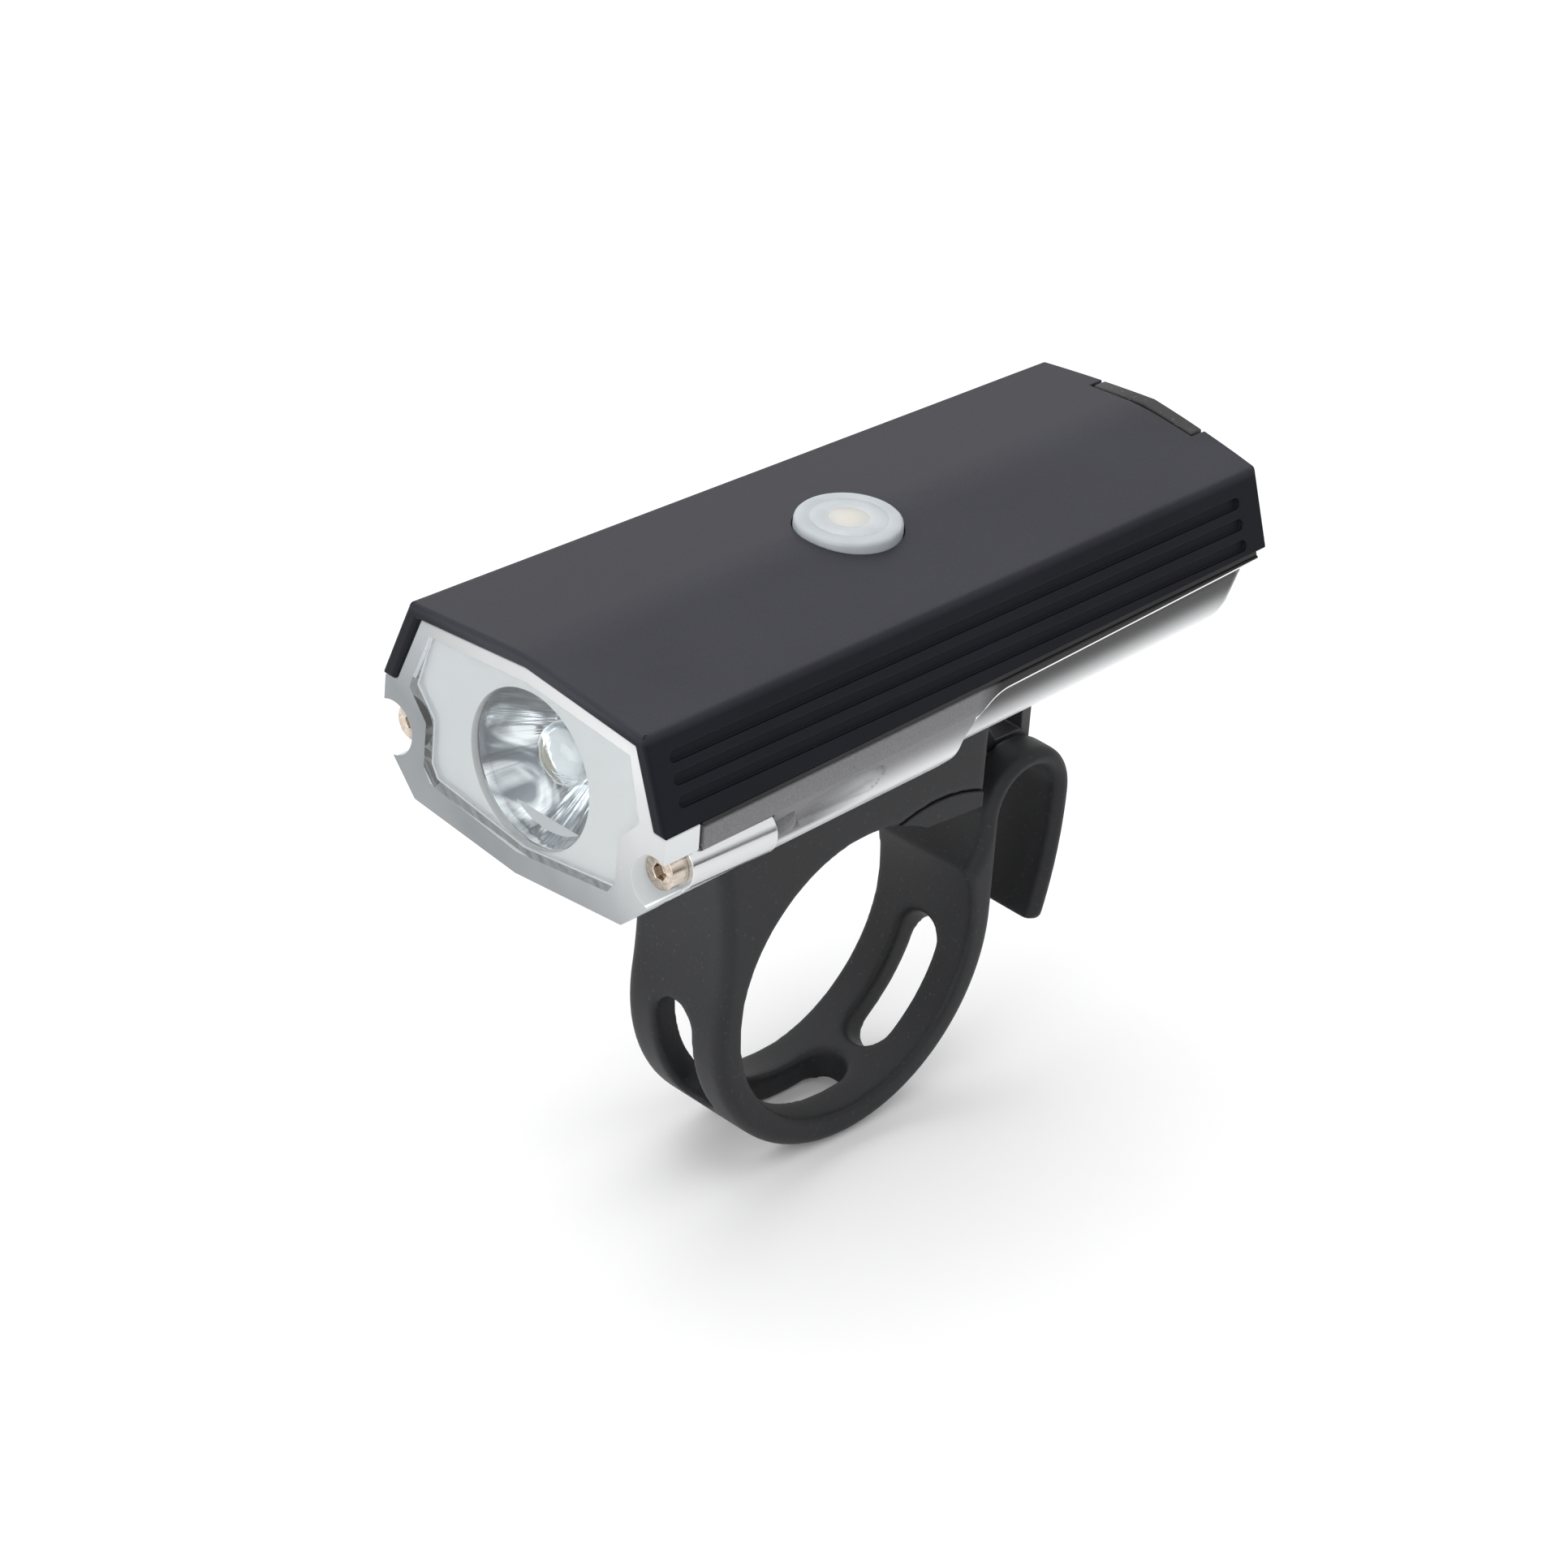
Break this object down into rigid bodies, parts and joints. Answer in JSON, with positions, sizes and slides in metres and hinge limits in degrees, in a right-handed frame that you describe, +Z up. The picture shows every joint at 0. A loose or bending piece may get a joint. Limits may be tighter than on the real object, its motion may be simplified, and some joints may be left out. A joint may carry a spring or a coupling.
{
  "type": "bike headlight",
  "caption": "Slim bicycle headlight with a clear screwed front cover and a top button, held under its belly by a slotted rubber strap that wraps a handlebar.",
  "frame": {"origin": "centre of the clamped handlebar, in the middle of the strap's width", "axes": "+X along the bar, -Y the way the light shines, +Z up from the bar to the light"},
  "size_m": [0.0388, 0.0845, 0.0673],
  "materials": {
    "top_black": "matte, fine speckle",
    "housing_grey": "satin",
    "clear_cover": "clear, polished",
    "bezel_grey": "satin light grey",
    "optic_clear": "clear, polished",
    "white_plastic": "satin white",
    "board_aluminium": "white solder mask on aluminium",
    "phosphor": "yellow phosphor under a clear dome",
    "sink_aluminium": "machined",
    "screw_nickel": "nickel plated, warm",
    "screw_steel": "zinc plated",
    "seal_rubber": "matte",
    "battery_wrap": "silver foil pouch",
    "foam": "matte foam",
    "lead_red": "silicone insulation",
    "lead_white": "silicone insulation",
    "board_green": "satin solder mask",
    "chip_black": "matte epoxy",
    "ferrite": "matte ferrite",
    "led_white": "clear resin",
    "switch_black": "matte",
    "plunger_grey": "satin",
    "socket_steel": "bright shell",
    "button_milky": "milky translucent silicone",
    "port_rubber": "textured matte",
    "strap_rubber": "matte, slightly dusty",
    "hook_nylon": "satin nylon",
    "insert_brass": "knurled"
  },
  "bodies": {
    "light": {"top_cover": "top_black", "lower_housing": "housing_grey", "front_cover": "clear_cover", "bezel": "bezel_grey", "collimator_optic": "optic_clear", "optic_holder": "white_plastic", "led_board": "board_aluminium", "led_emitter": "phosphor", "heat_sink": "sink_aluminium", "cover_screws": "screw_nickel", "led_screws": "screw_steel", "lens_seal": "seal_rubber", "housing_seal": "seal_rubber", "battery_pack": "battery_wrap", "battery_foam": "foam", "battery_leads": "lead_red", "led_leads": "lead_white", "main_board": "board_green", "board_screws": "screw_steel", "driver_chips": "chip_black", "inductor": "ferrite", "status_leds": "led_white", "tact_switch": "switch_black", "usb_socket": "socket_steel", "button_retainer": "switch_black", "port_cover_root": "port_rubber", "strap_mount": "strap_rubber", "bar_pad": "strap_rubber", "hook_plate": "hook_nylon", "bracket_screw": "screw_steel", "bracket_insert": "insert_brass"},
    "button": {"power_button": "button_milky", "switch_plunger": "plunger_grey"},
    "port_door": {"port_cover": "port_rubber"}
  },
  "joints": [
    {"name": "button_press", "type": "slide", "parent": "light", "child": "button", "axis": [0, 0, -1], "range_m": [0, 0.0004], "stiffness_N_per_m": 4000},
    {"name": "port_cover_hinge", "type": "hinge", "parent": "light", "child": "port_door", "pos_m": [0, 0.04275, 0.03605], "axis": [-1, 0, 0], "range_deg": [0, 100]}
  ]
}
